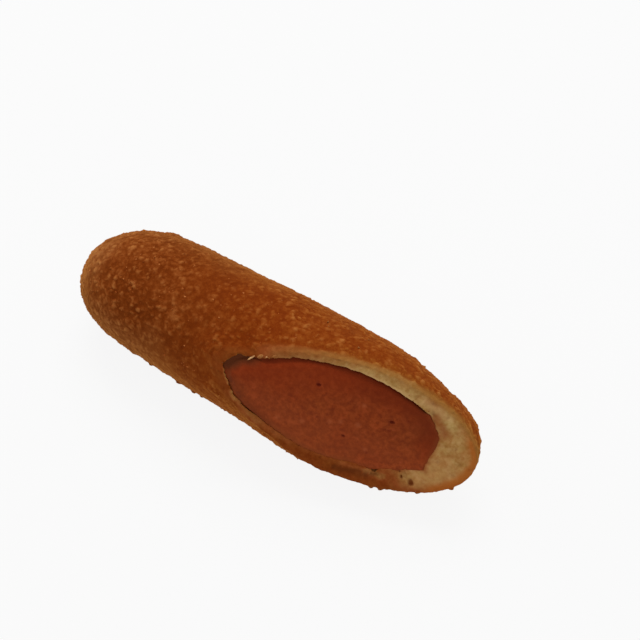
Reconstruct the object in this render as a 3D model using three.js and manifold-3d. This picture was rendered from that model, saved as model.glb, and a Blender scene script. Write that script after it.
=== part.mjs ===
// A corn dog cut open on a long slant: a sausage inside a coat of fried batter.
//
// Millimetres. X runs along the corn dog from its whole end to its cut end, the cut faces -Y and
// up, and +Z is up. The corn dog lies on a small flat spot at z = 0.

import * as THREE from 'three';
import { ImprovedNoise } from 'three/addons/math/ImprovedNoise.js';
import { mergeVertices } from 'three/addons/utils/BufferGeometryUtils.js';
import Module from 'manifold-3d';

// ---- Driving dimensions -------------------------------------------------------------------

// The coat of batter
const COAT_LENGTH = 128;
const COAT_RADIUS = 19.35;
const COAT_WIDENING = 1.3; // added to the radius at the cut end, taken off at the whole end
const COAT_BARREL = 1.3; // taken off the radius at both ends
const WHOLE_END = { reach: 25.7, power: 2.45 };
const CUT_END = { reach: 49.6, power: 2.45 };

// Its axis climbs a little towards the cut end, and the whole end droops forwards and down
const AXIS_SIDE = { climb: 1.1, droop: 1.2 }; // along Y
const AXIS_RISE = { climb: 1.0, droop: 1.0 }; // along Z
const DROOP_START = 0.55; // as a share of the half length
const REST_DEPTH = 18.65; // from the axis down to the flat spot it lies on

// The browned crust: slow swells, and crags that stand out of it
const SWELL = { size: 17, height: 0.35 };
const CRAG = { size: 5.2, height: 1.6, threshold: 0.14 };

// The knife cut, a flat slanting plane
const CUT_SLANT = THREE.MathUtils.degToRad(16.7); // between the plane and the X axis
const CUT_TILT = THREE.MathUtils.degToRad(35); // how far the cut looks up from level
const CUT_OFFSET = 17.6; // from the middle of the axis to the plane

// The sausage, which lies off-centre, towards the side that the knife opened
const SAUSAGE_RADIUS = 13;
const SAUSAGE_START = -50;
const SAUSAGE_STOP = 55.4;
const SAUSAGE_ENDS = { reach: 20, power: 2 };
const SAUSAGE_TILT = THREE.MathUtils.degToRad(37.5); // the way it lies off the coat's axis
const SAUSAGE_OFFSET = { cutEnd: 7, loss: 1.35 };
const SAUSAGE_EXTRA_SLANT = THREE.MathUtils.degToRad(0.7); // its face sinks below the coat's
const SKIN_GAP = 0.3; // between the sausage and the batter round it

// How finely the round forms are divided
const COAT_SIDES = 52;
const COAT_RINGS = 60;
const SAUSAGE_SIDES = 36;
const SAUSAGE_RINGS = 36;

const BLOCK = 400; // a block larger than the whole corn dog, for the knife and the table

const HALF_LENGTH = COAT_LENGTH / 2;

// ---- Forms --------------------------------------------------------------------------------

const crumbNoise = new ImprovedNoise();
const noiseAt = (point, size) => crumbNoise.noise(point.x / size, point.y / size, point.z / size);

// How much of the full radius is left at a distance from a rounded end
const endRounding = (distance, { reach, power }) => {
  const towardsEnd = THREE.MathUtils.clamp(1 - distance / reach, 0, 1);
  return Math.sqrt(1 - towardsEnd ** power);
};

// A round form between two x positions, as the curve of its radius from one end to the other
class RoundedProfile extends THREE.Curve {
  constructor(start, stop, radiusAt) {
    super();
    this.start = start;
    this.stop = stop;
    this.radiusAt = radiusAt;
    this.arcLengthDivisions = 800;
  }

  getPoint(t, target = new THREE.Vector2()) {
    const share = (1 - Math.cos(Math.PI * t)) / 2;
    const x = THREE.MathUtils.lerp(this.start, this.stop, share);
    return target.set(x, this.radiusAt(x));
  }
}

// A sphere stretched over a profile, with its centre line and its surface given by functions
function roundForm({ profile, sides, rings, centreAt, reliefAt }) {
  const sphere = new THREE.SphereGeometry(1, sides, rings);
  sphere.deleteAttribute('normal');
  sphere.deleteAttribute('uv');
  const geometry = mergeVertices(sphere, 1e-4);
  const position = geometry.attributes.position;
  const unit = new THREE.Vector3();
  for (let i = 0; i < position.count; i += 1) {
    unit.fromBufferAttribute(position, i).clampLength(0, 1);
    const along = 1 - Math.acos(unit.y) / Math.PI;
    const outline = profile.getPointAt(along);
    const outwards = new THREE.Vector3(0, unit.z, unit.x).normalize();
    const point = centreAt(outline.x).addScaledVector(outwards, outline.y);
    point.addScaledVector(outwards, reliefAt(point));
    position.setXYZ(i, point.x, point.y, point.z);
  }
  return geometry;
}

// ---- Joining and cutting ------------------------------------------------------------------

const wasm = await Module();
wasm.setup();

function toSolid(geometry) {
  const vertProperties = new Float32Array(geometry.attributes.position.array);
  const triVerts = new Uint32Array(geometry.index.array);
  return new wasm.Manifold(new wasm.Mesh({ numProp: 3, vertProperties, triVerts }));
}

function toGeometry(solid) {
  const mesh = solid.getMesh();
  const geometry = new THREE.BufferGeometry();
  geometry.setAttribute('position', new THREE.BufferAttribute(mesh.vertProperties, 3));
  geometry.setIndex(new THREE.BufferAttribute(mesh.triVerts, 1));
  geometry.computeVertexNormals();
  return geometry;
}

// A block whose flat face passes through a point, with all of the block on the normal's side
function blockBeyond(point, normal) {
  const box = new THREE.BoxGeometry(BLOCK, BLOCK, BLOCK);
  box.deleteAttribute('normal');
  box.deleteAttribute('uv');
  const block = mergeVertices(box, 1e-4);
  block.translate(0, 0, BLOCK / 2);
  const turn = new THREE.Quaternion().setFromUnitVectors(new THREE.Vector3(0, 0, 1), normal);
  block.applyQuaternion(turn);
  block.translate(point.x, point.y, point.z);
  return toSolid(block);
}

// ---- The coat of batter -------------------------------------------------------------------

const coatRadius = (x) => {
  const along = x / HALF_LENGTH;
  const full = COAT_RADIUS + COAT_WIDENING * along - COAT_BARREL * along ** 2;
  const wholeEnd = endRounding(HALF_LENGTH + x, WHOLE_END);
  const cutEnd = endRounding(HALF_LENGTH - x, CUT_END);
  return full * wholeEnd * cutEnd;
};

const coatCentre = (x) => {
  const along = x / HALF_LENGTH;
  const droop = Math.max(0, (-along - DROOP_START) / (1 - DROOP_START)) ** 2;
  const side = AXIS_SIDE.climb * along - AXIS_SIDE.droop * droop;
  const rise = AXIS_RISE.climb * along - AXIS_RISE.droop * droop;
  return new THREE.Vector3(x, side, rise);
};

const crustRelief = (point) => {
  const swell = SWELL.height * noiseAt(point, SWELL.size);
  const crag = CRAG.height * Math.max(0, noiseAt(point, CRAG.size) - CRAG.threshold);
  return swell + crag;
};

function makeWholeCoat() {
  return toSolid(roundForm({
    profile: new RoundedProfile(-HALF_LENGTH, HALF_LENGTH, coatRadius),
    sides: COAT_SIDES,
    rings: COAT_RINGS,
    centreAt: coatCentre,
    reliefAt: crustRelief,
  }));
}

// ---- The sausage --------------------------------------------------------------------------

const sausageCentre = (x) => {
  const along = x / HALF_LENGTH;
  const offset = SAUSAGE_OFFSET.cutEnd - SAUSAGE_OFFSET.loss * (1 - along) ** 2;
  const away = new THREE.Vector3(0, -Math.cos(SAUSAGE_TILT), Math.sin(SAUSAGE_TILT));
  return coatCentre(x).addScaledVector(away, offset);
};

// The sausage before it is cut; growth makes the hollow that it lies in
function makeWholeSausage(growth) {
  const start = SAUSAGE_START - growth;
  const stop = SAUSAGE_STOP + growth;
  const radiusAt = (x) => {
    const left = endRounding(x - start, SAUSAGE_ENDS);
    const right = endRounding(stop - x, SAUSAGE_ENDS);
    return (SAUSAGE_RADIUS + growth) * left * right;
  };
  return toSolid(roundForm({
    profile: new RoundedProfile(start, stop, radiusAt),
    sides: SAUSAGE_SIDES,
    rings: SAUSAGE_RINGS,
    centreAt: sausageCentre,
    reliefAt: () => 0,
  }));
}

// ---- The cut and the flat spot ------------------------------------------------------------

const cutNormal = (slant) => new THREE.Vector3(
  Math.sin(slant),
  -Math.cos(slant) * Math.cos(CUT_TILT),
  Math.cos(slant) * Math.sin(CUT_TILT),
);

const coatCutNormal = cutNormal(CUT_SLANT);
const coatCutPoint = coatCutNormal.clone().multiplyScalar(CUT_OFFSET);

// Both faces meet near the sausage's cut end, where the sausage is only a gap lower
const alongCut = new THREE.Vector3(1, 0, 0).projectOnPlane(coatCutNormal).normalize();
const hingeDistance = (SAUSAGE_STOP - coatCutPoint.x) / alongCut.x;
const sausageCutPoint = coatCutPoint.clone()
  .addScaledVector(alongCut, hingeDistance)
  .addScaledVector(coatCutNormal, -SKIN_GAP);

const knife = blockBeyond(coatCutPoint, coatCutNormal);
const sausageKnife = blockBeyond(sausageCutPoint, cutNormal(CUT_SLANT + SAUSAGE_EXTRA_SLANT));
const table = blockBeyond(new THREE.Vector3(0, 0, -REST_DEPTH), new THREE.Vector3(0, 0, -1));

const coatSolid = makeWholeCoat()
  .subtract(table)
  .subtract(makeWholeSausage(SKIN_GAP))
  .subtract(knife);

const sausageSolid = makeWholeSausage(0).subtract(sausageKnife);

// ---- The model ----------------------------------------------------------------------------

const crust = new THREE.MeshStandardMaterial({ color: 0x7a3710, roughness: 0.85, metalness: 0 });
const meat = new THREE.MeshStandardMaterial({ color: 0x743219, roughness: 0.6, metalness: 0 });

const batterCoat = new THREE.Mesh(toGeometry(coatSolid), crust);
batterCoat.name = 'batter_coat';

const sausage = new THREE.Mesh(toGeometry(sausageSolid), meat);
sausage.name = 'sausage';

const cornDog = new THREE.Group();
cornDog.add(batterCoat, sausage);

// The origin is under the middle of the corn dog, on the surface that it lies on
const extent = new THREE.Box3().setFromObject(cornDog);
const middle = extent.getCenter(new THREE.Vector3());
cornDog.position.set(-middle.x, -middle.y, -extent.min.z);

export default cornDog;
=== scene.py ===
from math import cos, pi, radians, sin

import bpy
import numpy as np
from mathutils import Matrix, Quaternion, Vector


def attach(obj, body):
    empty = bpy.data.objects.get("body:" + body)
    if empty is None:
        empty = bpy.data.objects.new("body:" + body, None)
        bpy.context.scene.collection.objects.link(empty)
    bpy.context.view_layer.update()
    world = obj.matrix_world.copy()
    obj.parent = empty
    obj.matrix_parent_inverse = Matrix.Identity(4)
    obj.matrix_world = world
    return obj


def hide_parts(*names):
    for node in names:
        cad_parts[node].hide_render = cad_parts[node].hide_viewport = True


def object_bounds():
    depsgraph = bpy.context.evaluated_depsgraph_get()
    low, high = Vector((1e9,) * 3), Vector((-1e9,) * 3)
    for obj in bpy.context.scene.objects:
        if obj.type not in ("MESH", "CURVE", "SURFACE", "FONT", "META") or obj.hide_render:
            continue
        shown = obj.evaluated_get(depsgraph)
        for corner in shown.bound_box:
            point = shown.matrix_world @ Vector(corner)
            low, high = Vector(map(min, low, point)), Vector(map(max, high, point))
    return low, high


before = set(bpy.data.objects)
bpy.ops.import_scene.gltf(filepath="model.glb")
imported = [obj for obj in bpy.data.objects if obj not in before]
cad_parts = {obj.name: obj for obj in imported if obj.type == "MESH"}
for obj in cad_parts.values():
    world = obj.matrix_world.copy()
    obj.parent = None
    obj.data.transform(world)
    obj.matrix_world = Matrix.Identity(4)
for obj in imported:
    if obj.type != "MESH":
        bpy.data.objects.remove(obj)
cad_low, cad_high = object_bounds()

# A corn dog cut open on a long slant: a coat of fried batter with a crumbly browned crust, and
# the sausage inside it. Sizes are in millimetres, and MM turns them into Blender's metres. X runs
# along the corn dog, the cut faces -Y and up, and it lies on z = 0.
#
# Marks on the cut are placed along it, towards its tip, and across it, upwards. Most are made of
# fades, which go from 0 at one place, depth or gap to 1 at another, in millimetres.

MM = 0.001
TINY = 1e-9  # keeps lengths of zero out of divisions

# ---- Sizes of the forms, the same as the solids' ----

AXIS_MIDDLE = np.array((0.031, -0.377, 18.65))

HALF_LENGTH = 64.0
COAT_RADIUS = 19.35
COAT_WIDENING = 1.3
COAT_BARREL = 1.3
WHOLE_END = (25.7, 2.45)  # reach and power of the rounding
CUT_END = (49.6, 2.45)
SIDE_CLIMB, SIDE_DROOP = 1.1, 1.2
RISE_CLIMB, RISE_DROOP = 1.0, 1.0
DROOP_START = 0.55

CUT_SLANT = radians(16.7)
CUT_TILT = radians(35)
CUT_OFFSET = 17.6

SAUSAGE_RADIUS = 13.0
SAUSAGE_START, SAUSAGE_STOP = -50.0, 55.4
SAUSAGE_ENDS = (20.0, 2.0)
SAUSAGE_TILT = radians(37.5)
SAUSAGE_OFFSET, SAUSAGE_OFFSET_LOSS = 7.0, 1.35
SAUSAGE_EXTRA_SLANT = radians(0.7)
FACE_STEP = 0.3  # how far the sausage's face lies below the batter's, by its cut end
HOLLOW_GAP = 0.12
SAUSAGE_FLAT_END = 52.6  # its end is blunt there

# ---- How finely things are modelled ----

RING_SIDES = 32
COAT_RINGS = 44
SAUSAGE_RINGS = 32
COAT_VOXEL = 0.32
COAT_TRIANGLES = 192_000
SAUSAGE_VOXEL = 0.4
SAUSAGE_TRIANGLES = 60_000
RIM_SMOOTHING = 30
SMOOTHING_LEVELS = 4

# ---- Noise ----

CELL_FACTORS = (73856093, 19349663, 83492791)
SEED_FACTOR = 40503
MIXING_STEPS = ((15, 0x2C1B3C6D), (12, 0x297A2D39), (15, 1))
ALL_BITS, KEPT_BITS = 0xFFFFFFFF, 0xFFFFFF
CHANCE_SEED = 7  # added to the seed for the grains' own numbers


def lattice_random(cells, seed):
    """A repeatable random number from 0 to 1 for each whole-numbered cell."""
    mixed = seed * SEED_FACTOR
    for axis, factor in enumerate(CELL_FACTORS):
        mixed = mixed ^ (cells[..., axis] * factor)
    mixed = mixed & ALL_BITS
    for shift, factor in MIXING_STEPS:
        mixed = ((mixed ^ (mixed >> shift)) * factor) & ALL_BITS
    return (mixed & KEPT_BITS) / KEPT_BITS


def smooth_noise(points, size, seed):
    """Soft noise from -1 to 1 whose lumps are about size across."""
    scaled = points / size
    low = np.floor(scaled).astype(np.int64)
    part = scaled - low
    part = part * part * (3 - 2 * part)
    total = np.zeros(len(points))
    for corner in np.ndindex(2, 2, 2):
        corner = np.array(corner)
        weight = np.prod(np.where(corner == 1, part, 1 - part), axis=1)
        total += weight * lattice_random(low + corner, seed)
    return 2 * total - 1


def layered_noise(points, layers):
    """Noise added up from layers, each with its size, height and seed."""
    return sum(height * smooth_noise(points, size, seed) for size, height, seed in layers)


def grain_pattern(points, size, seed):
    """Distance to the nearest grain's middle, as a share of size, and the grain's own number."""
    scaled = points / size
    home = np.floor(scaled).astype(np.int64)
    nearest = np.full(len(points), np.inf)
    chance = np.zeros(len(points))
    for step in np.ndindex(3, 3, 3):
        cell = home + (np.array(step) - 1)
        middle = cell + np.stack([lattice_random(cell, seed + axis) for axis in range(3)], axis=1)
        distance = np.linalg.norm(scaled - middle, axis=1)
        closer = distance < nearest
        chance = np.where(closer, lattice_random(cell, seed + CHANCE_SEED), chance)
        nearest = np.where(closer, distance, nearest)
    return nearest, chance


def fade(start, full, value):
    """Rises softly from 0 at start to 1 at full, which may be below start."""
    share = np.clip((value - start) / (full - start), 0, 1)
    return share * share * (3 - 2 * share)


# ---- The forms' outlines ----

def end_rounding(distance, reach, power):
    """How much of the full radius is left at a distance from a rounded end."""
    towards_end = np.clip(1 - distance / reach, 0, 1)
    return np.sqrt(1 - towards_end ** power)


def coat_radius(x):
    along = x / HALF_LENGTH
    full = COAT_RADIUS + COAT_WIDENING * along - COAT_BARREL * along ** 2
    whole_end = end_rounding(HALF_LENGTH + x, *WHOLE_END)
    return full * whole_end * end_rounding(HALF_LENGTH - x, *CUT_END)


def coat_centre(x):
    """Centre of the coat at x along its axis. The whole end droops forwards and down."""
    along = x / HALF_LENGTH
    droop = np.maximum(0, (-along - DROOP_START) / (1 - DROOP_START)) ** 2
    side = SIDE_CLIMB * along - SIDE_DROOP * droop
    rise = RISE_CLIMB * along - RISE_DROOP * droop
    return AXIS_MIDDLE + np.stack([x + 0 * along, side, rise], axis=-1)


def sausage_radius(x, growth=0.0):
    start, stop = SAUSAGE_START - growth, SAUSAGE_STOP + growth
    ends = end_rounding(x - start, *SAUSAGE_ENDS) * end_rounding(stop - x, *SAUSAGE_ENDS)
    return (SAUSAGE_RADIUS + growth) * ends


def sausage_centre(x):
    along = x / HALF_LENGTH
    offset = SAUSAGE_OFFSET - SAUSAGE_OFFSET_LOSS * (1 - along) ** 2
    away = np.array((0, -cos(SAUSAGE_TILT), sin(SAUSAGE_TILT)))
    return coat_centre(x) + np.multiply.outer(offset, away)


def cut_normal(slant):
    return np.array((
        sin(slant),
        -cos(slant) * cos(CUT_TILT),
        cos(slant) * sin(CUT_TILT),
    ))


# The plane of the cut, with the directions along and across it
CUT_NORMAL = cut_normal(CUT_SLANT)
CUT_POINT = AXIS_MIDDLE + CUT_NORMAL * CUT_OFFSET
ALONG_CUT = np.array((1, 0, 0)) - CUT_NORMAL * CUT_NORMAL[0]
ALONG_CUT = ALONG_CUT / np.linalg.norm(ALONG_CUT)
ACROSS_CUT = np.cross(CUT_NORMAL, ALONG_CUT)

SAUSAGE_NORMAL = cut_normal(CUT_SLANT + SAUSAGE_EXTRA_SLANT)
HINGE = (SAUSAGE_STOP - (CUT_POINT - AXIS_MIDDLE)[0]) / ALONG_CUT[0]
SAUSAGE_POINT = CUT_POINT + ALONG_CUT * HINGE - CUT_NORMAL * FACE_STEP


# ---- Modelling ----

def deselect_all():
    bpy.ops.object.select_all(action="DESELECT")


def choose(piece):
    deselect_all()
    piece.select_set(True)
    bpy.context.view_layer.objects.active = piece


def finish_modifier(piece, name, kind, **settings):
    """Adds a modifier and applies it."""
    choose(piece)
    modifier = piece.modifiers.new(name, kind)
    for setting, value in settings.items():
        setattr(modifier, setting, value)
    bpy.ops.object.modifier_apply(modifier=modifier.name)


def add_object(name, data):
    added = bpy.data.objects.new(name, data)
    bpy.context.scene.collection.objects.link(added)
    return added


def metres(point):
    return Vector(point) * MM


def round_form(name, positions, centre_at, radius_at):
    """A long round form: a disc at its first position, drawn out ring by ring to its last."""
    deselect_all()
    bpy.ops.mesh.primitive_circle_add(
        vertices=RING_SIDES,
        radius=radius_at(positions[0]) * MM,
        fill_type="NGON",
        location=metres(centre_at(positions[0])),
        rotation=(0, pi / 2, 0),
    )
    form = bpy.context.object
    form.name = name
    bpy.ops.object.mode_set(mode="EDIT")
    bpy.ops.mesh.select_all(action="SELECT")
    for here, there in zip(positions, positions[1:]):
        step = metres(centre_at(there) - centre_at(here))
        growth = radius_at(there) / radius_at(here)
        bpy.ops.mesh.extrude_region_move(TRANSFORM_OT_translate={"value": step})
        bpy.ops.transform.resize(
            value=(1, growth, growth), center_override=metres(centre_at(there)),
        )
    bpy.ops.mesh.select_all(action="SELECT")
    bpy.ops.mesh.normals_make_consistent(inside=False)
    bpy.ops.object.mode_set(mode="OBJECT")
    bpy.ops.object.transform_apply(location=True, rotation=True, scale=True)
    finish_modifier(form, "round", "SUBSURF", levels=2, render_levels=2)
    return form


def ring_positions(start, stop, rings):
    """Positions along the axis, closer together towards both rounded ends."""
    turn = np.linspace(0, pi, rings + 1)[1:-1]
    return (start + stop) / 2 - (stop - start) / 2 * np.cos(turn)


def slice_off(piece, point, normal):
    """Cuts away all of a piece on the normal's side of a plane, and closes it there."""
    choose(piece)
    bpy.ops.object.mode_set(mode="EDIT")
    bpy.ops.mesh.select_all(action="SELECT")
    bpy.ops.mesh.bisect(
        plane_co=metres(point), plane_no=Vector(normal), use_fill=True, clear_outer=True,
    )
    bpy.ops.object.mode_set(mode="OBJECT")


def remesh(piece, voxel):
    finish_modifier(piece, "even", "REMESH", mode="VOXEL", voxel_size=voxel * MM, adaptivity=0)


def thin_to(piece, triangles):
    """Takes away faces on the flat parts, until so many triangles are left."""
    now = sum(len(face.vertices) - 2 for face in piece.data.polygons)
    finish_modifier(piece, "thin", "DECIMATE", decimate_type="COLLAPSE", ratio=triangles / now)
    write_points(piece, read_points(piece))


def read_rows(items, name):
    rows = np.empty(len(items) * 3, np.float32)
    items.foreach_get(name, rows)
    return rows.reshape(-1, 3).astype(float)


def read_points(piece):
    return read_rows(piece.data.vertices, "co") / MM


def read_normals(piece):
    return read_rows(piece.data.vertex_normals, "vector")


def write_points(piece, points):
    """Moves the vertices, and keeps them all inside the solid's box."""
    inside = np.clip(points * MM, np.array(cad_low), np.array(cad_high))
    piece.data.vertices.foreach_set("co", inside.astype(np.float32).ravel())
    piece.data.update()


def write_attributes(piece, **attributes):
    """Writes a number at each vertex by name, for the materials to read."""
    for name, values in attributes.items():
        attribute = piece.data.attributes.new(name, "FLOAT", "POINT")
        attribute.data.foreach_set("value", values.astype(np.float32))


def soften(piece, name, weights, repeats):
    """Smooths a piece where the weights say so."""
    group = piece.vertex_groups.new(name=name)
    for level in range(1, SMOOTHING_LEVELS + 1):
        chosen = np.flatnonzero(np.round(weights * SMOOTHING_LEVELS) == level)
        group.add(chosen.tolist(), level / SMOOTHING_LEVELS, "REPLACE")
    finish_modifier(
        piece, "soften", "SMOOTH", factor=0.5, iterations=repeats, vertex_group=group.name,
    )
    piece.vertex_groups.clear()


# ---- Places on the forms ----

OUTLINE_STEPS = np.arange(0.3, 5, 0.3)  # tried along the axis
UNEVEN = ((2.3, 0.35, 91), (1.0, 0.2, 92))  # layers of noise, for the marks' borders


def off_axis(points):
    """Where points lie along the coat's axis, the way from it to them, and how far that is."""
    x = np.clip(points[:, 0] - AXIS_MIDDLE[0], -HALF_LENGTH, HALF_LENGTH)
    away = points - coat_centre(x)
    return x, away, np.hypot(away[:, 1], away[:, 2])


def coat_depth(points):
    """How far points lie inside the coat's plain outline, seen from its axis."""
    x, _, radius = off_axis(points)
    return coat_radius(x) - radius


def from_outline(points):
    """How far points inside the coat lie from its plain outline, square to it."""
    x, _, radius = off_axis(points)
    nearest = np.maximum(coat_radius(x) - radius, 0)
    for step in OUTLINE_STEPS:
        there = np.minimum(x + step, HALF_LENGTH)
        nearest = np.minimum(nearest, np.hypot(there - x, coat_radius(there) - radius))
    return nearest


def turn_round(points):
    """Turns of points round the coat's axis in degrees: 0 towards +Y and 90 up."""
    away = off_axis(points)[1]
    return np.degrees(np.arctan2(away[:, 2], away[:, 1]))


def turned_from(turns, turn):
    """How many degrees each turn is away from another one."""
    return np.abs((turns - turn + 180) % 360 - 180)


def off_sausage(points):
    """How far points lie outside the whole sausage."""
    x = points[:, 0] - AXIS_MIDDLE[0]
    held = np.clip(x, SAUSAGE_START + 0.1, SAUSAGE_FLAT_END)
    away = points - sausage_centre(held)
    beside = np.hypot(away[:, 1], away[:, 2]) - sausage_radius(held)
    return np.maximum(beside, x - SAUSAGE_FLAT_END)


def on_cut(along, across):
    """The point of the cut plane at a place along and across it."""
    return CUT_POINT + ALONG_CUT * along + ACROSS_CUT * across


def on_coat(x, turn):
    """The point of the coat's outline at x along its axis and a turn round it."""
    turn = radians(turn)
    return coat_centre(x) + coat_radius(x) * np.array((0, cos(turn), sin(turn)))


class Places:
    """Where points lie: in the coat, off the sausage, and along, across and below the cut."""

    def __init__(self, points):
        self.points = points
        self.x = points[:, 0]
        self.depth = coat_depth(points)
        self.gap = off_sausage(points)
        self.uneven = layered_noise(points, UNEVEN)
        self.read_cut(points)

    def read_cut(self, points):
        """Reads the places on the cut, also anew once the points have moved."""
        away = points - CUT_POINT
        self.along, self.across = away @ ALONG_CUT, away @ ACROSS_CUT
        self.below = -(away @ CUT_NORMAL)
        self.low_side = fade(4, -3, self.across)

    def near(self, line):
        """Distance on the cut from a line between two places."""
        start, stop = np.array(line, float)
        way = stop - start
        place = np.stack([self.along, self.across], axis=1) - start
        share = np.clip(place @ way / (way @ way), 0, 1)
        return np.linalg.norm(place - share[:, None] * way, axis=1)

    def spots(self, marks, outer, inner):
        """Round marks on the cut, which fade in from outer to inner radii."""
        shown = np.zeros(len(self.points))
        for along, across, radius in marks:
            distance = np.hypot(self.along - along, self.across - across)
            shown = np.maximum(shown, fade(outer * radius, inner * radius, distance))
        return shown


# The sausage's border on the cut leaves its plain outline: the direction from the middle, in
# degrees, and how far outwards the border lies there
BORDER_MIDDLE = (21.0, 1.0)
BORDER_HALF = (29.5, 12.0)
BORDER_SHIFTS = (
    (-180, 2.2), (-163, 0.5), (-145, 0.9), (-129, 0.55), (-116, 0.75), (-107, 0.9), (-95, 1.0),
    (-82, 0.15), (-72, -1.2), (-62, -1.3), (-53, -1.9), (-47, -1.6), (-40, -1.5), (-31, -0.5),
    (-24, 0.4), (-19, -0.6), (-4, -0.3), (9, 0.0), (22, 0.0), (34, -0.4), (41, -0.2),
    (44.5, 0.25), (48, -0.2), (61, -0.5), (70, 0.05), (78, 0.65), (88, 1.15), (99, 1.1),
    (111, 1.0), (127, 0.2), (137, -0.1), (146, 0.05), (151, 0.8), (156, 1.45), (160, 1.9),
    (167, 2.4), (173, 2.6), (178, 2.7),
)


def border_shift(at):
    """How far outwards the sausage's border on the cut lies near each point, and which way."""
    aside = (at.along - BORDER_MIDDLE[0]) / BORDER_HALF[0]
    up = (at.across - BORDER_MIDDLE[1]) / BORDER_HALF[1]
    turns, shifts = np.array(BORDER_SHIFTS, float).T
    shift = np.interp(np.degrees(np.arctan2(up, aside)), turns, shifts, period=360)
    outwards = np.outer(aside / BORDER_HALF[0], ALONG_CUT)
    outwards += np.outer(up / BORDER_HALF[1], ACROSS_CUT)
    outwards /= np.linalg.norm(outwards, axis=1)[:, None] + TINY
    return shift, outwards


# ---- The coat of batter ----

# Lumps that stand out of the crust: x along the axis, turn round it, width and height
CRUST_LUMPS = (
    (-43.6, 38, 6.0, 0.4), (-29.7, 203, 1.6, 0.5), (-19.3, 202, 1.8, 0.55), (-14.4, 204, 1.3, 0.5),
    (-11.5, 204, 1.2, 0.4), (41.9, 218, 1.4, 0.65), (44.4, 220, 1.7, 0.75), (50.6, 227, 1.5, 0.4),
    (53.4, 229, 1.5, 0.35), (60.8, 236, 1.5, 0.7),
)
BURNT_WIDTH = 3.0  # narrower lumps are burnt dark

# Broad low bulges of the coat: x along the axis, turn round it, half length, half turn and height
COAT_BULGES = ((24.0, 208, 30.0, 30, 0.8), (58.0, 16, 11.0, 30, 1.3))

# Pores in the cut batter: places along and across the cut, and radius
BATTER_PORES = ((48.0, -9.4, 0.85), (45.4, -9.7, 0.35), (44.7, -8.9, 0.3), (38.2, -10.6, 0.5))

# Strokes of lighter or darker batter: their ends on the cut, width, browning and strength
BATTER_STROKES = (
    (((-8.9, 0.6), (-6.3, -3.4)), 0.55, 0.3, 0.8),
    (((-4.6, -5.4), (-3.4, -6.8)), 1.2, 0.4, 0.8),
    (((-3.2, -6.4), (4.2, -10.2)), 1.3, 0.6, 0.8),
    (((4.2, -10.2), (14.0, -12.0)), 1.5, 0.68, 0.7),
    (((29.0, -12.0), (35.5, -11.3)), 0.9, 0.62, 0.6),
    (((36.0, -11.2), (40.6, -10.9)), 1.5, 0.4, 0.8),
)

# Dark strokes in the batter: their ends on the cut, width and strength; the second is painted
# shade
BATTER_STAINS = (
    (((27.8, -13.9), (36.4, -12.2)), 1.3, 0.9),
    (((37.6, -11.4), (38.6, -10.8)), 0.8, 0.8),
    (((45.0, 12.4), (45.9, 11.8)), 0.7, 0.7),
)

# Lines on the cut by which the batter is paler, browner by the sausage, or a little golden below
PALE_BEND = ((42.4, 13.9), (50.4, 12.2))
SOAKED_SMEAR = ((47.0, 10.8), (50.8, 7.8))
LOW_GOLD = ((-8, -7), (4, -12))

# Layers of noise
SWELLS = ((17, 0.3, 3), (4.0, 0.15, 5))
SPONGE = ((2.4, 0.14, 63), (1.2, 0.1, 61))
TEAR = ((1.7, 0.32, 67), (0.8, 0.18, 68))

# The crust's coarse and fine grains
GRAIN_SIZE, GRAIN_SEED, GRAIN_HEIGHT = 1.5, 11, 0.36
FINE_SIZE, FINE_SEED, FINE_HEIGHT = 0.95, 31, 0.22
GRAIN_SINK = 0.18  # about the grains' mean height, taken off again
CALMER = 0.35  # how much lower the grains are where the crust is calm

WARP_SIZE, WARP_SEEDS = 1.2, (81, 82, 83)
GRAIN_WARP, LUMP_WARP = 0.5, 0.35  # how far the warp pulls them out of round


def bulge(points):
    """How far out the coat's broad bulges reach near each point."""
    x = points[:, 0] - AXIS_MIDDLE[0]
    turns = turn_round(points)
    reach = np.zeros(len(points))
    for place, turn, half_length, half_turn, height in COAT_BULGES:
        near = fade(1, 0, np.abs(x - place) / half_length)
        reach += height * near * fade(1, 0, turned_from(turns, turn) / half_turn)
    return reach * fade(4.0, 0.5, coat_depth(points))


def carve_coat():
    """The coat's plain form, cut and hollowed, with a soft rim round the cut."""
    coat = round_form(
        "batter_coat_crumb",
        ring_positions(-HALF_LENGTH, HALF_LENGTH, COAT_RINGS),
        coat_centre, coat_radius,
    )
    slice_off(coat, (0, 0, 0), (0, 0, -1))
    slice_off(coat, CUT_POINT, CUT_NORMAL)
    hollow = round_form(
        "hollow",
        ring_positions(SAUSAGE_START - HOLLOW_GAP, SAUSAGE_STOP + HOLLOW_GAP, SAUSAGE_RINGS),
        sausage_centre, lambda x: sausage_radius(x, HOLLOW_GAP),
    )
    slice_off(hollow, AXIS_MIDDLE + (SAUSAGE_FLAT_END + HOLLOW_GAP, 0, 0), (1, 0, 0))

    # Many-sided faces that aren't quite flat upset the Boolean now and then
    for form in (coat, hollow):
        finish_modifier(form, "triangles", "TRIANGULATE")
    finish_modifier(
        coat, "hollow", "BOOLEAN", operation="DIFFERENCE", object=hollow, solver="EXACT",
    )
    bpy.data.objects.remove(hollow)
    remesh(coat, COAT_VOXEL)

    at = Places(read_points(coat))
    rim = fade(4.0, 1.0, at.depth) * fade(3.5, 1.0, at.below)
    soften(coat, "rim", rim * fade(0.3, 1.2, at.gap), RIM_SMOOTHING)
    return coat


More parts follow.
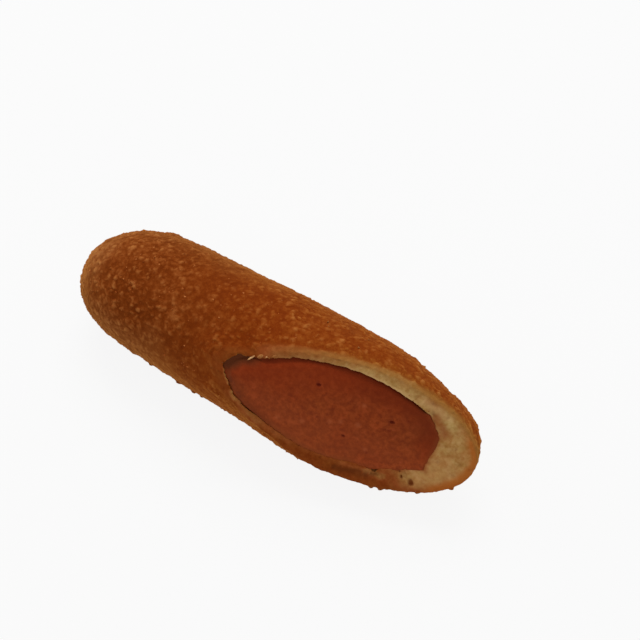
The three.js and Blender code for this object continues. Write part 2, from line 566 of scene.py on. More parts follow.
def crust_grains(points, warp):
    """Rounded grains that crowd each other, coarse and fine, and painted highlights on some."""
    warped = points + GRAIN_WARP * warp
    crowded = 0.55 + 0.45 * fade(-0.4, 0.4, smooth_noise(points, 5.5, 13))
    nearest, chance = grain_pattern(warped, GRAIN_SIZE, GRAIN_SEED)
    grain = fade(0.45 + 0.45 * chance, 0.05, nearest) * (0.4 + 0.6 * chance) * crowded
    fleck = fade(0.5, 0.2, nearest) * fade(0.7, 0.95, chance)
    nearest, chance = grain_pattern(warped, FINE_SIZE, FINE_SEED)
    fine = fade(0.5 + 0.4 * chance, 0.05, nearest) * chance
    fine_fleck = 0.8 * fade(0.5, 0.2, nearest) * fade(0.75, 0.95, chance)
    return grain, fine, np.maximum(fleck, fine_fleck)


def crust_relief(points, warp, grain, fine):
    """Height of the crust's swells, crags, grains and lumps, and where it is burnt."""
    height = layered_noise(points, SWELLS)
    height += 0.8 * np.maximum(0, smooth_noise(points, 3.6, 6) - 0.5)
    height += GRAIN_HEIGHT * grain + FINE_HEIGHT * fine - GRAIN_SINK
    burnt = np.zeros(len(points))
    for x, turn, width, lump in CRUST_LUMPS:
        distance = np.linalg.norm(points + LUMP_WARP * warp - on_coat(x, turn), axis=1)
        swollen = fade(width / 2 + 0.3, width / 5, distance)
        height += lump * swollen
        burnt = np.maximum(burnt, swollen * (width < BURNT_WIDTH))
    return height, burnt


def crumb_relief(at, warp):
    """Height of the spongy cut batter, with its small pits and its pores."""
    pit = fade(0.45, 0.75, smooth_noise(at.points + GRAIN_WARP * warp, 1.2, 65))
    pore = at.spots(BATTER_PORES, 1.2, 0.5)
    height = np.minimum(layered_noise(at.points, SPONGE), 0.12) - 0.15 * pit - 0.38 * pore
    return height, pit, pore


def bulged(at, face):
    """How the broad bulges move points; on the face they stay in the cut's plane."""
    away = off_axis(at.points)[1]
    away[:, 0] = 0
    away -= face[:, None] * np.outer(away @ CUT_NORMAL, CUT_NORMAL)
    away /= np.linalg.norm(away, axis=1)[:, None] + TINY
    return away * bulge(at.points)[:, None]


def torn_border(at):
    """How the batter moves along the sausage, where it laps on it and is torn."""
    shift, outwards = border_shift(at)
    shift *= fade(3.6, 0.6, at.gap) * fade(5.5, 0.5, at.below)
    torn = fade(1.4, 0.3, at.gap) * fade(1.8, 0.4, at.below)
    ragged = 0.25 + 0.9 * fade(9, 2, at.along) * fade(2, 6, at.across)
    ragged += fade(10, 4, np.hypot(at.along - 40, at.across + 9))
    lap = 0.05 + 0.1 * fade(2, 10, at.along) * fade(9, 2, at.across)
    notch = 0.9 * fade(1.3, 0.5, np.hypot(at.along - 38.3, at.across + 11.4))
    tear = ragged * layered_noise(at.points, TEAR) + lap - notch
    return outwards * (shift - torn * tear)[:, None]


def browning(at):
    """How brown the cut batter is, from the crust inwards: deepest on the lower side."""
    deep = fade(3, 13, at.along)
    ends = fade(47.5, 37, at.along)
    start = -3.0 - 0.8 * fade(25, 45, at.along)
    start += at.low_side * (-0.4 + 3.0 * deep * ends - start)
    reach = 8.2 - 5.4 * fade(3, 30, at.along)
    reach += 2.0 * fade(40, 44, at.along) * fade(50, 45, at.along)
    low_reach = 4.6 - 1.4 * fade(44, 52, at.along) + 9.0 * deep * ends + 1.4 * deep
    reach += at.low_side * (low_reach - reach)
    browned = 1 - np.clip((at.depth + at.uneven - start) / (reach - start), 0, 1)
    corner = fade(3.5, -2.5, at.along + 2 * at.uneven)
    tip = 0.24 * fade(42, 50, at.along) * fade(11, 6, at.across)
    browned = np.maximum.reduce([browned, corner, tip])
    for line, width, value, strength in BATTER_STROKES:
        stroke = fade(width, 0.35 * width, at.near(line) + 0.4 * at.uneven)
        browned += strength * stroke * (value - browned)
    return browned


def golden_crust(at):
    """Golden crust under the cut's rim and below it; painted light along its top, ends and low
    left.
    """
    along_axis = at.x - AXIS_MIDDLE[0]
    turns = turn_round(at.points) + 12 * smooth_noise(at.points, 9, 94)
    upper_rim = fade(5.0, 0.0, at.below) * fade(0, 36, at.along) * (1 - at.low_side)
    low_rim = 0.3 * fade(4.0, 1.0, at.near(LOW_GOLD) + 2 * at.uneven)
    low_rim *= fade(6, 2, at.below)
    # Painted light: golden along the top, at the whole end, low at the left and round the tip
    top = 0.6 - 0.5 * fade(-20, 8, along_axis)
    top *= fade(80, 25, turns) * fade(-50, 0, turns)
    whole_end = 0.85 * fade(-46, -62, at.x + 3 * smooth_noise(at.points, 6, 95))
    low_left = 0.6 * fade(-10, -32, along_axis) * fade(60, 25, turned_from(turns, -160))
    low_tip = 0.7 * fade(28, 44, at.x) * fade(0, -50, turns)
    return np.maximum.reduce([upper_rim, low_rim, top, whole_end, low_left, low_tip])


def rim_marks(at):
    """Marks by the rim of the cut: browned and light at its tip, dull and pale above."""
    inwards = from_outline(at.points)
    low = fade(5, -3, at.across)
    start = 50 + 4 * fade(2, 10, at.across)
    rim = fade(2.6 + 0.9 * low, 1.2 + 0.5 * low, inwards + at.uneven)
    rim *= fade(start, start + 5, at.along)
    faint = 0.15 * fade(6, 2, inwards) * fade(53, 58, at.along) * (1 - low)
    light = fade(44, 52, at.along) * fade(2, -3, at.across) * fade(1, 2.5, inwards)

    late = fade(38, 45, at.along)
    halo = fade(2.0 + 1.6 * late, 0.3, at.below + at.uneven) * fade(1.3, 0.1, at.depth)
    halo *= fade(-2, 18, at.along) * (1 + 0.4 * late)
    # The lip by the sausage's upper border: pale batter, partly a painted highlight on its torn
    # edge
    lip = fade(0.9, 0.3, at.gap + 0.5 * at.uneven) * fade(1, 7, at.along)
    lip *= (0.12 + 0.48 * fade(14, 36, at.along)) * fade(44, 38, at.along)
    bend = 0.35 * fade(2.0, 0.3, at.near(PALE_BEND) + at.uneven)
    return {
        "rim": np.maximum(rim, faint),
        "light": light,
        "halo": halo * (1 - at.low_side),
        "lip": np.maximum(lip * (1 - at.low_side), bend),
    }


def batter_stain(at):
    # Dark strokes on the cut; the one by the notch is painted shade in it
    stain = np.zeros(len(at.points))
    for line, width, strength in BATTER_STAINS:
        stroke = fade(width, 0.3 * width, at.near(line) + 0.5 * at.uneven)
        stain = np.maximum(stain, strength * stroke)
    return stain * (at.below < 1.5)


def soaked_batter(at):
    """Where the batter by the sausage is browner: by its end, low down along it and in a smear."""
    end = fade(38, 45, at.along) * fade(13, 10, at.across)
    end *= fade(1.4, 0.0, at.gap + 0.8 * at.uneven)
    low = fade(5, 13, at.along) * fade(27, 22, at.along) * at.low_side
    low *= fade(0.9, 0.0, at.gap + at.uneven)
    smear = fade(2.3, 0.2, at.near(SOAKED_SMEAR) + 0.8 * at.uneven)
    return np.maximum.reduce([end, low, smear])


def make_coat():
    coat = carve_coat()
    at = Places(read_points(coat))
    face = fade(1.1, 0.4, at.below) * fade(-0.1, 0.7, at.depth)
    wall = (at.gap < 0.5) & (at.below > 0.25) & (at.depth > 0.3)  # of the hollow

    warp = np.stack([smooth_noise(at.points, WARP_SIZE, seed) for seed in WARP_SEEDS], axis=1)
    grain, fine, fleck = crust_grains(at.points, warp)
    calm = fade(-38, -16, at.x) * fade(4, -10, at.x)
    grain, fine = grain * (1 - CALMER * calm), fine * (1 - CALMER * calm)
    crust_height, burnt = crust_relief(at.points, warp, grain, fine)
    crumb_height, pit, pore = crumb_relief(at, warp)
    height = (1 - face) * ~wall * crust_height + face * crumb_height
    moved = at.points + read_normals(coat) * height[:, None]
    moved += bulged(at, face) + torn_border(at)
    flat = at.points[:, 2] < 0.2
    moved[flat, 2] = np.maximum(moved[flat, 2], 0)
    write_points(coat, moved)

    at.read_cut(moved)
    golden = golden_crust(at)
    shown = fade(1.7, 0.5, at.below) * fade(-0.5, 0.3, at.depth)
    write_attributes(
        coat,
        crust=(1 - shown) * ~wall,
        grain=grain,
        fine=fine,
        # Painted highlights on the tops of some grains
        fleck=fleck * (1 - 0.4 * golden) * (1 - 0.5 * calm),
        golden=golden,
        ruddy=fade(-38, 6, at.x + 8 * smooth_noise(at.points, 11, 93)),
        # The hollow's wall is painted browned: painted shade in the gap along the sausage
        browned=np.maximum(browning(at), 0.55 * wall),
        # Pits and pores painted darker: painted shade in them
        pit=np.maximum(0.15 * pit, pore),
        soaked=soaked_batter(at),
        # Dark strokes, one of them painted shade, and burnt lumps
        stain=np.maximum(batter_stain(at), 0.5 * burnt),
        **rim_marks(at),
    )
    thin_to(coat, COAT_TRIANGLES)
    coat.data.shade_smooth()
    return coat


# ---- The sausage ----

# Pores in the cut face: places along and across it, half length, half width and depth
PORES = (
    (16.1, 6.8, 0.75, 0.5, 0.7), (37.2, 4.9, 0.8, 0.45, 0.7), (36.6, 2.2, 0.9, 0.2, 0.3),
    (26.9, -4.2, 0.6, 0.4, 0.5), (13.3, 7.6, 0.5, 0.35, 0.2), (18.7, -2.1, 0.5, 0.35, 0.2),
)
# Pores are painted darker the deeper they are: painted shade in them
DARK_PORE_DEPTH = 0.6  # pores as deep as this are fully dark
HOLLOW_CORNER = ((-8.9, 2.2), (-5.6, 5.8), (-2.4, 6.8))  # where the face sinks under the crust
LOWER_BORDER = ((-8.2, 1.4), (-4.6, -4.5))

# Lighter smears and darker flecks in the face: places along and across it, and radius
LIGHT_SMEARS = (
    (22.2, -1.8, 0.9), (24.9, -0.6, 0.8), (29.3, 0.4, 0.9), (29.0, 6.3, 0.7), (9.1, -6.6, 0.8),
    (15.5, -4.8, 1.0), (33.5, -5.4, 0.9),
)
DARK_FLECKS = (
    (21.0, -0.2, 0.45), (25.8, -2.6, 0.5), (37.3, 2.4, 0.6), (36.8, 0.7, 0.45), (34.1, -6.2, 0.5),
    (15.0, -2.9, 0.4), (41.0, 7.0, 0.4), (8.0, 2.0, 0.4),
)

MEAT = ((3.4, 0.06, 71), (1.4, 0.06, 73))  # noise


def carve_sausage():
    """The sausage's plain form, blunt at its right end and cut."""
    sausage = round_form(
        "cut_sausage",
        ring_positions(SAUSAGE_START, SAUSAGE_STOP, SAUSAGE_RINGS),
        sausage_centre, sausage_radius,
    )
    slice_off(sausage, AXIS_MIDDLE + (SAUSAGE_FLAT_END, 0, 0), (1, 0, 0))
    slice_off(sausage, SAUSAGE_POINT, SAUSAGE_NORMAL)
    remesh(sausage, SAUSAGE_VOXEL)
    return sausage


def face_pores(at):
    """How deep the pores of the sausage's face are, and how dark with painted shade."""
    pore = np.zeros(len(at.points))
    dent = np.zeros(len(at.points))
    for along, across, length, width, depth in PORES:
        distance = np.hypot((at.along - along) / length, (at.across - across) / width)
        hole = fade(1.15, 0.5, distance)
        pore = np.maximum(pore, hole * min(1, depth / DARK_PORE_DEPTH))
        dent = np.maximum(dent, hole * 0.7 * depth)
    return pore, dent


def face_relief(at, corner):
    """Height of the sausage's face: its lumps, its hollow corner and its edges."""
    height = layered_noise(at.points, MEAT)
    height -= fade(4.5, 0.3, corner) * fade(3, -6, at.along)
    upper_edge = fade(-1.4, -0.2, at.gap) * fade(3, 6, at.across)
    height -= 0.3 * upper_edge * fade(46, 42, at.along)

    # Low down and at its right end the face rises to the batter's, so that no gap shows there
    low = fade(4, -2, at.across) * fade(2, 10, at.along)
    level = np.maximum(low, fade(43, 47, at.along)) * fade(-3.5, -0.4, at.gap)
    return height + level * np.clip(at.below, 0, 1.2)


def face_shadow(at, corner, face):
    """Painted shade on the sausage's face, most of all in its hollow corner under the crust."""
    hollow = fade(3.8, 1.0, corner) * fade(3.5, -5.5, at.along)
    left = 0.6 * fade(1.4, 0.2, at.near(LOWER_BORDER)) * fade(-1, -6, at.along)
    low = 0.4 * fade(-1.5, -0.2, at.gap) * fade(2, -2, at.across) * face
    low *= fade(13, 3, at.along)
    right = 0.22 * fade(34, 46, at.along) * fade(-4, 4, at.across)
    return np.maximum.reduce([hollow, left, low, right])


def face_edges(at, face):
    """Marks by the face's edges: red most of all above with painted shadow there, browned below
    and right.
    """
    # Painted shadow: a dark red line in the gap under the batter's upper border, and a darker band
    # by it
    width = 0.7 + 1.5 * fade(6, 30, at.along)
    line = 0.85 * fade(-width, -0.3 * width, at.gap) * fade(3, 6, at.across)
    line *= fade(-6, 2, at.along) * fade(47, 43, at.along)
    band = 0.42 * fade(-8, -2, at.gap) * fade(1, 6, at.across) * fade(20, 32, at.along)
    upper = fade(-8, -0.5, at.gap) * fade(-2, 4, at.across)
    outer = fade(-3.5, -0.3, at.gap) * fade(-4, 2, at.across)
    lower = fade(-1.6, -0.1, at.gap) * fade(-3, -7, at.across)
    lower *= fade(4, 10, at.along) * fade(42, 30, at.along)
    right = 0.7 * fade(-1.3, 0.0, at.gap) * fade(40, 46, at.along)
    return {
        "deep": face * np.maximum(line, band),
        "edge": np.maximum(upper, outer),
        "browned": np.maximum(lower, right),
    }


def make_sausage():
    sausage = carve_sausage()
    at = Places(read_points(sausage))
    face = fade(-0.9, -0.3, (at.points - SAUSAGE_POINT) @ SAUSAGE_NORMAL)
    pore, dent = face_pores(at)
    shift, outwards = border_shift(at)
    shift *= fade(-4.5, -0.6, at.gap) * fade(6.0, 1.0, at.below)
    placed = at.points + outwards * shift[:, None]
    at.read_cut(placed)
    first, middle, last = HOLLOW_CORNER
    corner = np.minimum(at.near((first, middle)), at.near((middle, last)))
    corner += 0.4 * smooth_noise(at.points, 2.0, 75)
    height = face * (face_relief(at, corner) - dent)
    write_points(sausage, placed + read_normals(sausage) * height[:, None])

    low_smear = 0.25 * fade(3, -5, at.across) * fade(0, -1.2, at.gap)
    write_attributes(
        sausage,
        # Painted shade in the pores, and dark flecks
        pore=face * np.maximum(pore, 0.5 * at.spots(DARK_FLECKS, 1.2, 0.3)),
        smear=face * np.maximum(at.spots(LIGHT_SMEARS, 1.3, 0.2), low_smear),
        # Painted shade on the face, most of all in its hollow corner
        stain=face_shadow(at, corner, face),
        **face_edges(at, face),
    )
    thin_to(sausage, SAUSAGE_TRIANGLES)
    sausage.data.shade_smooth()
    return sausage


# ---- Crumbs ----

CRUST_CRUMBS = 700
EDGE_CRUMBS = 14
CRUMB_SEED = 5
TORN_SEED = 8
CRUMB_SHAPES = 6

# Pale crumbs on the cut: places along and across it, length, width, turn and lightness
TORN_CRUMBS = (
    (-2.8, 6.4, 1.9, 0.65, 52, 0.8), (-0.7, 7.7, 1.9, 1.0, 32, 0.25),
    (0.9, 8.3, 0.6, 0.5, 10, 0.6), (2.7, 9.4, 1.2, 0.7, 40, 0.2),
)
TORN_THICKNESS = 0.6
TORN_SINK = 0.1

# Pale specks on the crust: x along the axis, turn round it, and size
PALE_SPECKS = (
    (39.0, 28.5, 0.6), (45.0, 28.0, 0.65), (13.1, 64.5, 0.4), (14.4, 69.5, 0.35),
    (-0.8, 68.0, 0.35), (24.7, 74.0, 0.4), (24.7, 58.5, 0.35), (30.0, 60.0, 0.35),
    (61.2, 18.0, 0.5),
)
SPECK_SINK = 0.15
SPECK_TINT = 0.3


def crumb_shapes(rng):
    """A few irregular crumbs, about 1 mm across."""
    shapes = []
    for number in range(CRUMB_SHAPES):
        deselect_all()
        bpy.ops.mesh.primitive_ico_sphere_add(subdivisions=2, radius=0.5 * MM)
        crumb = bpy.context.object
        points = read_points(crumb)
        lumpy = 1 + 0.35 * smooth_noise(points + 10 * number, 0.5, 41)
        lumpy += 0.15 * smooth_noise(points, 0.25, 43)
        stretch = rng.uniform(0.65, 1.25, 3)
        shaped = points * lumpy[:, None] * stretch * MM
        crumb.data.vertices.foreach_set("co", shaped.astype(np.float32).ravel())
        finish_modifier(crumb, "thin", "DECIMATE", decimate_type="COLLAPSE", ratio=0.6)
        faces = [face.vertices[:] for face in crumb.data.polygons if len(face.vertices) == 3]
        shapes.append((read_points(crumb), np.array(faces)))
        bpy.data.objects.remove(crumb)
    return shapes


def random_turns(rng, count):
    """Rotation matrices that turn things every way alike."""
    quaternions = rng.normal(size=(count, 4))
    quaternions /= np.linalg.norm(quaternions, axis=1)[:, None]
    return [np.array(Quaternion(quaternion).to_matrix()) for quaternion in quaternions]


def scatter_crumbs(name, places, sizes, tints, turns, rng):
    """Sets a crumb at each place, and joins them into one piece."""
    shapes = crumb_shapes(rng)
    kinds = rng.integers(0, len(shapes), len(places))
    all_points, all_faces, all_tints, count = [], [], [], 0
    for place, size, tint, turn, kind in zip(places, sizes, tints, turns, kinds):
        points, faces = shapes[kind]
        all_points.append(points @ turn.T * size + place)
        all_faces.append(faces + count)
        all_tints.append(np.full(len(points), tint))
        count += len(points)
    mesh = bpy.data.meshes.new(name)
    mesh.from_pydata(np.concatenate(all_points) * MM, [], np.concatenate(all_faces).tolist())
    crumbs = add_object(name, mesh)
    write_points(crumbs, read_points(crumbs))
    write_attributes(crumbs, tint=np.concatenate(all_tints))
    mesh.shade_smooth()
    return crumbs


def surface_samples(piece):
    """Places, normals and areas of a piece's faces."""
    faces = piece.data.polygons
    areas = np.empty(len(faces))
    faces.foreach_get("area", areas)
    return Places(read_rows(faces, "center") / MM), read_rows(faces, "normal"), areas / MM ** 2


def choose_faces(rng, weight, count):
    """Draws faces at random, each as likely as its weight says."""
    return rng.choice(len(weight), count, replace=False, p=weight / weight.sum())


def make_crust_crumbs(coat):
    """Loose crumbs that stick to the crust, most of them at its whole end."""
    rng = np.random.default_rng(CRUMB_SEED)
    at, normals, areas = surface_samples(coat)
    outside = (at.depth < 0.9) & (at.below > 0.9) & (at.points[:, 2] > 1.2)
    weight = areas * outside * (0.5 + fade(10, -40, at.x))
    weight *= fade(-0.6, 0.5, smooth_noise(at.points, 7, 47))
    chosen = choose_faces(rng, weight, CRUST_CRUMBS)
    sizes = 0.3 + 0.45 * rng.random(CRUST_CRUMBS) ** 2
    places = at.points[chosen] - normals[chosen] * (0.25 * sizes)[:, None]
    tints = rng.random(CRUST_CRUMBS)
    turns = random_turns(rng, CRUST_CRUMBS)
    return scatter_crumbs("crust_crumbs", places, sizes, tints, turns, rng)


def make_torn_crumbs(coat):
    """Pale crumbs along the sausage, those that the knife tore loose, and specks."""
    rng = np.random.default_rng(TORN_SEED)
    at, normals, areas = surface_samples(coat)
    edge = (np.abs(at.gap - 0.2) < 0.5) & (at.below < 0.5) & (at.depth > 0.6)
    weight = areas * edge * (0.15 + fade(2, 8, at.across)) * fade(-5, 0, at.along)
    chosen = choose_faces(rng, weight, EDGE_CRUMBS)
    places = [*(at.points[chosen] - normals[chosen] * TORN_SINK)]
    sizes = [*(0.3 + 0.25 * rng.random(EDGE_CRUMBS) ** 2)]
    tints = [*(0.4 * rng.random(EDGE_CRUMBS))]
    turns = random_turns(rng, EDGE_CRUMBS + len(PALE_SPECKS))
    for x, turn, size in PALE_SPECKS:
        place = on_coat(x, turn)
        out = place - coat_centre(x)
        out /= np.linalg.norm(out)
        places.append(place + out * (bulge(place[None])[0] - SPECK_SINK))
        sizes.append(size)
        tints.append(SPECK_TINT)
    for along, across, length, width, turn, tint in TORN_CRUMBS:
        turn = radians(turn)
        lengthways = ALONG_CUT * cos(turn) + ACROSS_CUT * sin(turn)
        sideways = np.cross(CUT_NORMAL, lengthways)
        places.append(on_cut(along, across) - CUT_NORMAL * TORN_SINK)
        sizes.append(1.0)
        tints.append(tint)
        turns.append(np.stack(
            [lengthways * length, sideways * width, CUT_NORMAL * TORN_THICKNESS], axis=1,
        ))
    return scatter_crumbs("torn_crumbs", places, sizes, tints, turns, rng)


# ---- Materials ----

def shade(*values):
    """A colour given by its red, green and blue on a screen, from 0 to 255."""
    parts = (value / 255 for value in values)
    linear = (
        part / 12.92 if part < 0.04045 else ((part + 0.055) / 1.055) ** 2.4 for part in parts
    )
    return (*linear, 1)


class Nodes:
    """Adds shader nodes to a tree, and sets or links their inputs by name."""

    def __init__(self, tree):
        self.tree = tree

    def give(self, socket, value):
        if isinstance(value, bpy.types.NodeSocket):
            self.tree.links.new(value, socket)
        else:
            socket.default_value = value

    def add(self, kind, inputs=None, **settings):
        node = self.tree.nodes.new(kind)
        for setting, value in settings.items():
            setattr(node, setting, value)
        for name, value in (inputs or {}).items():
            self.give(node.inputs[name], value)
        return node

    def math(self, operation, first, second):
        inputs = {0: first, 1: second}
        return self.add("ShaderNodeMath", inputs, operation=operation).outputs[0]

    def total(self, first, *others):
        for value in others:
            first = self.math("ADD", first, value)
        return first

    def mix(self, share, first, second, blend="MIX"):
        inputs = {0: share, 6: first, 7: second}  # its inputs for colours
        node = self.add("ShaderNodeMix", data_type="RGBA", blend_type=blend)
        for number, value in inputs.items():
            self.give(node.inputs[number], value)
        return node.outputs[2]

    def attribute(self, name):
        return self.add("ShaderNodeAttribute", attribute_name=name).outputs["Fac"]

    def paint(self, colour, attribute, strength, over):
        """Paints another colour over one, where an attribute of the piece says so."""
        share = self.math("MULTIPLY", self.attribute(attribute), strength)
        return self.mix(share, colour, over)

    def noise(self, size, detail=2.0, roughness=0.5):
        """Soft noise from 0 to 1, with lumps of a size in millimetres."""
        return self.add("ShaderNodeTexNoise", {
            "Vector": self.add("ShaderNodeTexCoord").outputs["Object"],
            "Scale": self.math("DIVIDE", 1 / MM, size),
            "Detail": detail,
            "Roughness": roughness,
        }).outputs["Fac"]

    def spread(self, value, low, high, to_low=0.0, to_high=1.0):
        """Spreads the part of a value between low and high over a new range."""
        return self.add("ShaderNodeMapRange", {
            "Value": value, "From Min": low, "From Max": high, "To Min": to_low, "To Max": to_high,
        }).outputs[0]

    def ramp(self, value, places, *colours):
        """Goes from colour to colour as a value passes their places."""
        node = self.add("ShaderNodeValToRGB", {"Fac": value})
        elements = node.color_ramp.elements
        elements.remove(elements[1])
        elements[0].position = places[0]
        for place in places[1:]:
            elements.new(place)
        for element, colour in zip(elements, colours):
            element.color = shade(*colour)
        return node.outputs["Color"]


def new_material(name):
    material = bpy.data.materials.new(name)
    material.use_nodes = True
    material.node_tree.nodes.clear()
    return material, Nodes(material.node_tree)


def finish_material(nodes, settings, crumb=None):
    """Ends a material in one shader, with the fine crumb's roughness and relief if given."""
    if crumb:
        settings = {**settings, "Roughness": crumb["Roughness"], "Normal": crumb["Normal"]}
    shader = nodes.add("ShaderNodeBsdfPrincipled", settings)
    nodes.add("ShaderNodeOutputMaterial", {"Surface": shader.outputs[0]})


def make_crumbly_group():
    """Fine crumb for any surface: a speckle, the roughness and the fine relief."""
    group = bpy.data.node_groups.new("fine_crumb", "ShaderNodeTree")
    defaults = {
        "Speck Size": 0.45, "Relief Size": 0.35, "Relief Height": 0.08, "Relief Strength": 0.6,
        "Smoothest": 0.85, "Roughest": 0.97,
    }
    for name, value in defaults.items():
        socket = group.interface.new_socket(name, in_out="INPUT", socket_type="NodeSocketFloat")
        socket.default_value = value
    outputs = {"Speckle": "Float", "Roughness": "Float", "Normal": "Vector"}
    for name, kind in outputs.items():
        group.interface.new_socket(name, in_out="OUTPUT", socket_type="NodeSocket" + kind)
    nodes = Nodes(group)
    given = nodes.add("NodeGroupInput").outputs
    speckle = nodes.noise(given["Speck Size"], 3)
    relief = nodes.noise(given["Relief Size"], 3, 0.6)
    bump = nodes.add("ShaderNodeBump", {
        "Strength": given["Relief Strength"], "Height": relief,
        "Distance": nodes.math("MULTIPLY", given["Relief Height"], MM),
    })
    nodes.add("NodeGroupOutput", {
        "Speckle": nodes.spread(speckle, 0.3, 0.7),
        "Roughness": nodes.spread(speckle, 0.3, 0.7, given["Smoothest"], given["Roughest"]),
        "Normal": bump.outputs[0],
    })
    return group


CRUST_LEVELS = (0.0, 0.15, 0.3, 0.52, 0.8)  # from between the grains to their tops


def make_batter_material(fine_crumb):
    material, nodes = new_material("browned_crust_and_batter")
    crumb = nodes.add("ShaderNodeGroup", node_tree=fine_crumb).outputs
    mottle = nodes.noise(2.2, 3, 0.6)

    # Four kinds of browned crust, lighter on the grains and darker between: painted light and
    # shade
    level = nodes.total(
        nodes.math("MULTIPLY", nodes.attribute("grain"), 0.5),
        nodes.math("MULTIPLY", nodes.attribute("fine"), 0.3),
        nodes.spread(crumb["Speckle"], 0, 1, 0.03, 0.21),
        nodes.spread(mottle, 0.3, 0.7, -0.13, 0.13),
        nodes.spread(nodes.noise(14, 2), 0.35, 0.65, -0.05, 0.06),
    )
    tawny = nodes.ramp(
        level, CRUST_LEVELS,
        (87, 33, 3), (95, 38, 4), (108, 49, 12), (123, 64, 25), (138, 81, 38),
    )
    orange = nodes.ramp(
        level, CRUST_LEVELS,
        (98, 35, 3), (105, 40, 4), (114, 50, 9), (124, 61, 17), (138, 78, 31),
    )
    sandy = nodes.ramp(
        level, CRUST_LEVELS,
        (108, 56, 22), (117, 64, 28), (132, 79, 40), (144, 95, 51), (154, 110, 64),
    )
    gilt = nodes.ramp(
        level, CRUST_LEVELS,
        (104, 48, 10), (113, 57, 14), (124, 71, 21), (137, 87, 33), (149, 104, 52),
    )
    ruddy = nodes.attribute("ruddy")
    brown = nodes.mix(ruddy, tawny, orange)
    # Golden crust, partly painted light on its rims
    brown = nodes.paint(brown, "golden", 0.85, nodes.mix(ruddy, sandy, gilt))
    # Painted highlights: light flecks on some grains' tops
    brown = nodes.paint(brown, "fleck", 0.35, shade(152, 96, 48))

    # The cut batter from pale to browned, with patches and marks on it
    browned = nodes.attribute("browned")
    cut = nodes.ramp(
        browned, (0.0, 0.24, 0.5, 0.75, 1.0),
        (166, 137, 84), (158, 123, 71), (143, 98, 51), (133, 73, 34), (116, 57, 18),
    )
    for pattern, low, high, tint in (
        (mottle, 0.62, 0.34, shade(237, 224, 208)),
        (nodes.noise(3.2), 0.4, 0.65, shade(255, 240, 242)),
        (nodes.noise(1.0), 0.6, 0.35, shade(238, 227, 214)),
    ):
        tinted = nodes.mix(1.0, cut, tint, "MULTIPLY")
        cut = nodes.mix(nodes.spread(pattern, low, high), cut, tinted)
    pale = nodes.spread(nodes.noise(1.5), 0.52, 0.7, 0, 0.3)
    pale = nodes.math("MULTIPLY", pale, nodes.spread(browned, 0.6, 0.2))
    cut = nodes.mix(pale, cut, shade(184, 148, 100))
    cut = nodes.paint(cut, "light", 0.35, shade(172, 124, 76))
    cut = nodes.paint(cut, "rim", 0.85, shade(151, 81, 28))
    # The lip: pale batter, partly a painted highlight on its torn edge
    cut = nodes.paint(cut, "lip", 1.0, shade(190, 153, 104))
    # Painted shade in the batter's pits and pores
    cut = nodes.paint(cut, "pit", 1.0, nodes.mix(1.0, cut, shade(170, 126, 96), "MULTIPLY"))
    cut = nodes.paint(cut, "soaked", 0.75, shade(122, 60, 26))

    colour = nodes.paint(cut, "crust", 1.0, brown)
    colour = nodes.paint(colour, "halo", 0.6, shade(120, 80, 34))
    # Dark strokes and burnt lumps, and painted shade by the notch
    colour = nodes.paint(colour, "stain", 0.8, shade(80, 35, 11))
    finish_material(nodes, {
        "Base Color": colour,
        "Specular IOR Level": 0.03,
        "Sheen Weight": 0.35,
        "Sheen Roughness": 0.4,
        "Sheen Tint": (1.0, 0.42, 0.06, 1),
    }, crumb)
    return material


def make_sausage_material(fine_crumb):
    material, nodes = new_material("cut_sausage_meat")
    crumb = nodes.add("ShaderNodeGroup", {
        "Speck Size": 0.5, "Relief Size": 0.6, "Relief Height": 0.06, "Relief Strength": 0.5,
        "Smoothest": 0.6, "Roughest": 0.75,
    }, node_tree=fine_crumb).outputs
    cloud = nodes.noise(7)
    patch = nodes.noise(2.6)
    mottle = nodes.noise(1.2, 3, 0.6)
    speck = nodes.math("MULTIPLY", crumb["Speckle"], 0.22)
    colour = nodes.mix(nodes.spread(cloud, 0.3, 0.7), shade(127, 50, 15), shade(132, 58, 21))
    colour = nodes.mix(nodes.spread(patch, 0.4, 0.65, 0, 0.55), colour, shade(107, 42, 13))
    colour = nodes.mix(nodes.spread(mottle, 0.42, 0.7, 0, 0.85), colour, shade(101, 36, 11))
    colour = nodes.mix(nodes.spread(mottle, 0.45, 0.25, 0, 0.5), colour, shade(140, 60, 32))
    colour = nodes.mix(speck, colour, shade(100, 34, 11))
    colour = nodes.paint(colour, "edge", 0.6, shade(115, 34, 5))
    # Painted shadow along the upper border
    colour = nodes.paint(colour, "deep", 1.0, shade(82, 24, 3))
    colour = nodes.paint(colour, "browned", 0.6, shade(122, 58, 24))
    colour = nodes.paint(colour, "smear", 0.35, shade(158, 84, 50))
    # Painted shade in the face's hollow corner and along its borders
    colour = nodes.paint(colour, "stain", 0.85, shade(80, 41, 19))
    # Painted shade in the pores, and dark flecks
    colour = nodes.paint(colour, "pore", 0.85, shade(86, 15, 6))
    finish_material(nodes, {
        "Base Color": colour,
        "Specular IOR Level": 0.05,
    }, crumb)
    return material


def make_crumb_material(name, fine_crumb, places, *colours):
    """Crumbs, each of its own tint, with darker specks on them."""
    material, nodes = new_material(name)
    crumb = nodes.add("ShaderNodeGroup", {
        "Speck Size": 0.4, "Relief Size": 0.3, "Relief Height": 0.06,
    }, node_tree=fine_crumb).outputs
    tint = nodes.total(nodes.attribute("tint"), nodes.spread(crumb["Speckle"], 0, 1, -0.2, 0.2))
    finish_material(nodes, {
        "Base Color": nodes.ramp(tint, places, *colours),
        "Specular IOR Level": 0.05,
        "Sheen Weight": 0.2,
        "Sheen Roughness": 0.5,
        "Sheen Tint": (1.0, 0.42, 0.09, 1),
    }, crumb)
    return material


# ---- The pieces ----

fine_crumb = make_crumbly_group()

coat = make_coat()
coat.data.materials.append(make_batter_material(fine_crumb))
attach(coat, "root")
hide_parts("batter_coat")

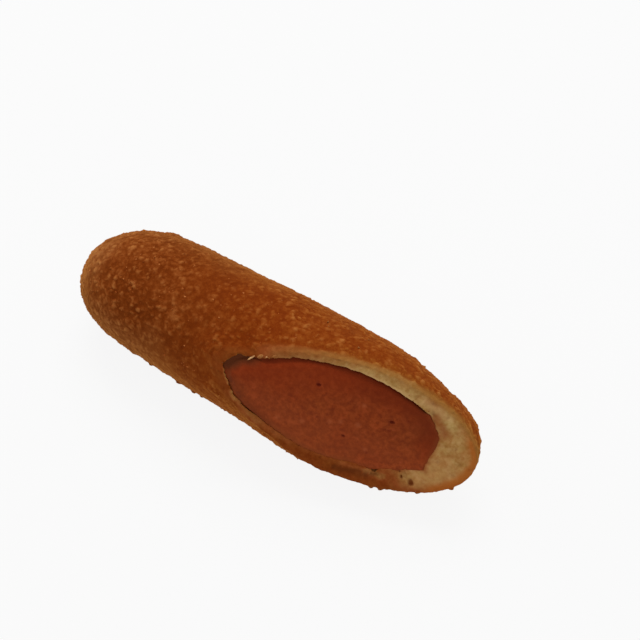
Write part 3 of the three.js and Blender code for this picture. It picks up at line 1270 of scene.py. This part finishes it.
sausage = make_sausage()
sausage.data.materials.append(make_sausage_material(fine_crumb))
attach(sausage, "root")
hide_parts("sausage")

crust_crumbs = make_crust_crumbs(coat)
crust_crumbs.data.materials.append(make_crumb_material(
    "crust_crumbs", fine_crumb, (0.0, 0.5, 0.9, 1.0),
    (98, 42, 10), (126, 58, 18), (148, 80, 36), (162, 98, 52),
))
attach(crust_crumbs, "root")

torn_crumbs = make_torn_crumbs(coat)
torn_crumbs.data.materials.append(make_crumb_material(
    "torn_batter_crumbs", fine_crumb, (0.0, 0.4, 0.7, 1.0),
    (122, 68, 30), (148, 98, 54), (182, 134, 88), (206, 168, 122),
))
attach(torn_crumbs, "root")

# ---- Floor, light and camera ----

# In metres from here on
FLOOR_SIZE = 6.0
FLOOR_GLOW = 0.89
SURROUNDINGS_STRENGTH = 0.8

# Soft round lights that look at the corn dog: place, size and power
WINDOWS = {
    "high_window": ((-0.25, 0.45, 0.9), 0.7, 7.5),
    "side_window": ((-1.0, -0.15, 0.35), 0.8, 2.2),
}

CAMERA_AZIMUTH = radians(34.9)
CAMERA_ELEVATION = radians(55)
CAMERA_DISTANCE = 0.302
CAMERA_TARGET = Vector((0.004031, 0.017623, 0.01865))
CAMERA_LENS, CAMERA_SENSOR = 60, 36

deselect_all()
bpy.ops.mesh.primitive_plane_add(size=FLOOR_SIZE, location=(0, 0, 0))
floor = bpy.context.object
floor.name = "pale_floor"
floor_material, floor_nodes = new_material("pale_floor")
finish_material(floor_nodes, {
    "Base Color": (0.05, 0.05, 0.05, 1),
    "Roughness": 0.9,
    "Specular IOR Level": 0.0,
    "Emission Color": (1, 1, 1, 1),
    "Emission Strength": FLOOR_GLOW,
})
floor.data.materials.append(floor_material)

world = bpy.data.worlds.new("soft_surroundings")
world.use_nodes = True
background = world.node_tree.nodes["Background"].inputs
background["Color"].default_value = (1, 1, 1, 1)
background["Strength"].default_value = SURROUNDINGS_STRENGTH
bpy.context.scene.world = world

for name, (place, size, power) in WINDOWS.items():
    light = bpy.data.lights.new(name, "AREA")
    light.shape = "DISK"
    light.size = size
    light.energy = power
    lamp = add_object(name, light)
    lamp.location = place
    lamp.rotation_euler = (-Vector(place)).to_track_quat("-Z", "Y").to_euler()

back = Vector((
    sin(CAMERA_AZIMUTH) * cos(CAMERA_ELEVATION),
    -cos(CAMERA_AZIMUTH) * cos(CAMERA_ELEVATION),
    sin(CAMERA_ELEVATION),
))
camera_data = bpy.data.cameras.new("camera")
camera_data.lens = CAMERA_LENS
camera_data.sensor_width = CAMERA_SENSOR
camera_data.clip_start = 0.01
camera = add_object("camera", camera_data)
camera.location = CAMERA_TARGET + back * CAMERA_DISTANCE
camera.rotation_mode = "QUATERNION"
camera.rotation_quaternion = (-back).to_track_quat("-Z", "Y")
bpy.context.scene.camera = camera
bpy.context.scene.view_settings.view_transform = "Standard"
